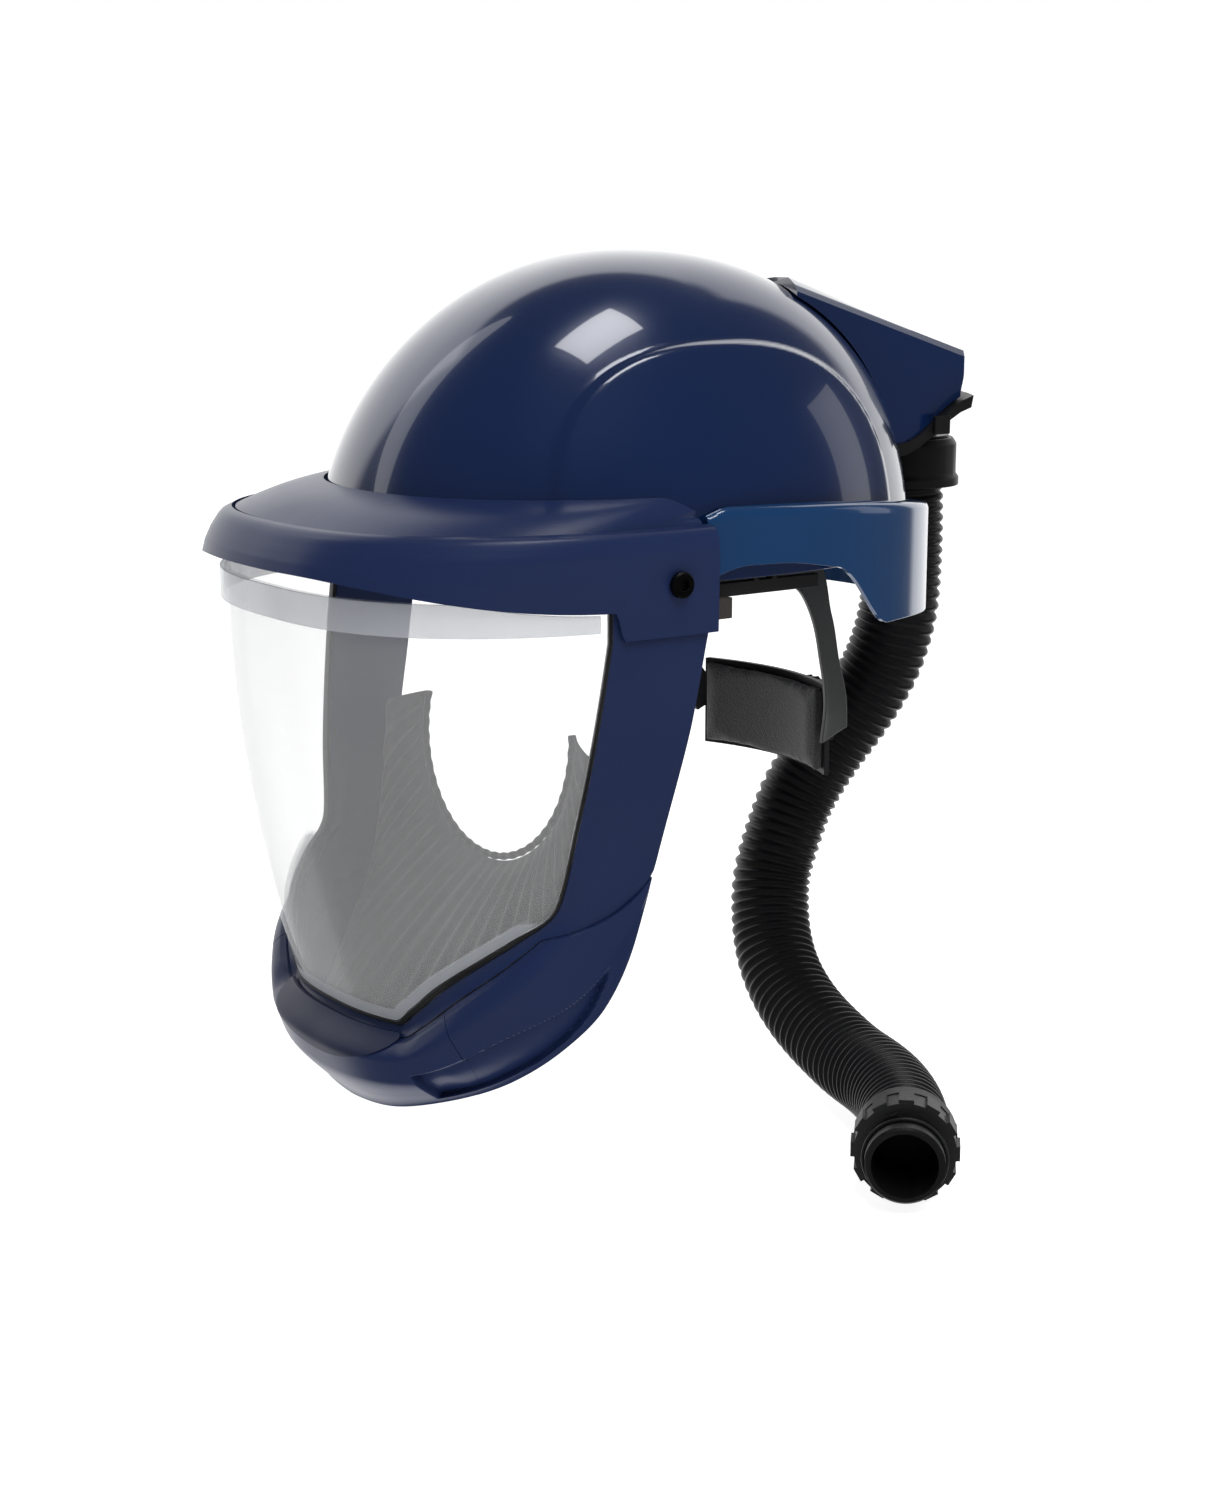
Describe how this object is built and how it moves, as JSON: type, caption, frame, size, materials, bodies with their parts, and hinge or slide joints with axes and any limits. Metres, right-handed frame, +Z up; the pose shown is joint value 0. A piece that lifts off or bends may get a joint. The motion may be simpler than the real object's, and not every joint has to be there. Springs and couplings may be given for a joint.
{
  "type": "powered air respirator head top",
  "caption": "Helmet with a hinged clear visor, rear air duct and corrugated hose ending in a bayonet connector; nape ratchet turns to fit the head.",
  "frame": {"origin": "centre of the head opening at the height of the visor hinges", "axes": "+Z up out of the crown, the wearer faces -Y, +X is the wearer's left"},
  "size_m": [0.3202, 0.4007, 0.419],
  "materials": {
    "shell_gloss": "glossy dark navy paint",
    "guard_gloss": "glossy navy",
    "navy_satin": "satin navy",
    "black_plastic": "satin black",
    "dark_plastic": "satin dark grey",
    "grey_plastic": "light grey satin",
    "black_rubber": "matte black",
    "steel": "brushed",
    "black_steel": "blackened",
    "webbing": "woven black",
    "foam": "brushed dark foam",
    "seal_cloth": "dark coated cloth",
    "clear_pane": "clear",
    "strip_clear": "smoked clear"
  },
  "bodies": {
    "helmet": {"helmet_shell": "shell_gloss", "duct_cover": "shell_gloss", "duct_base": "black_plastic", "duct_clips": "black_plastic", "duct_seal": "black_rubber", "air_spigot": "black_plastic", "spigot_oring": "black_rubber", "hose_cuff_top": "black_plastic", "cover_screws": "black_steel", "air_channel": "dark_plastic", "air_outlet": "dark_plastic", "peak_cover": "navy_satin", "neck_guard": "guard_gloss", "side_bracket_left": "grey_plastic", "side_bracket_right": "grey_plastic", "hinge_bushes": "steel", "hinge_screws": "black_steel", "friction_washers": "steel", "headband": "dark_plastic", "band_guides": "dark_plastic", "sweatband": "foam", "crown_strap_long": "webbing", "crown_strap_cross": "webbing", "crown_pad": "foam", "harness_hooks": "dark_plastic", "rail_left": "dark_plastic", "rail_right": "dark_plastic", "hose": "black_rubber", "hose_cuff_end": "dark_plastic"},
    "visor_unit": {"brim": "navy_satin", "visor_frame": "navy_satin", "jaw_guard_left": "navy_satin", "jaw_guard_right": "navy_satin", "chin_guard": "navy_satin", "chin_tab": "navy_satin", "visor_pane": "clear_pane", "pane_seal": "black_rubber", "pane_top_strip": "strip_clear", "frame_screws": "black_steel", "face_seal": "seal_cloth", "seal_hem": "seal_cloth"},
    "nape_cradle": {"nape_arm_left": "grey_plastic", "nape_arm_right": "grey_plastic", "nape_plate": "dark_plastic", "nape_pad": "foam", "ratchet_housing": "black_plastic"},
    "knob": {"ratchet_knob": "black_plastic", "pinion_shaft": "steel", "knob_screw": "steel"},
    "hose_connector": {"connector_barrel": "black_plastic", "grip_ring": "dark_plastic", "connector_oring": "black_rubber"}
  },
  "joints": [
    {"name": "visor_hinge", "type": "hinge", "parent": "helmet", "child": "visor_unit", "pos_m": [0, -0.052, 0], "axis": [-1, 0, 0], "range_deg": [0, 70]},
    {"name": "nape_slide", "type": "slide", "parent": "helmet", "child": "nape_cradle", "axis": [0, -1, 0], "range_m": [0, 0.014]},
    {"name": "knob_turn", "type": "hinge", "parent": "nape_cradle", "child": "knob", "pos_m": [0, 0.118, -0.094], "axis": [0, 1, 0], "range_deg": [0, 178.3]},
    {"name": "connector_turn", "type": "hinge", "parent": "helmet", "child": "hose_connector", "pos_m": [0.149, 0.061, -0.26], "axis": [0.7413, -0.6712, 0], "continuous": true}
  ],
  "couplings": [
    {"joint": "knob_turn", "follows": "nape_slide", "rad_per_m": 222.2}
  ]
}
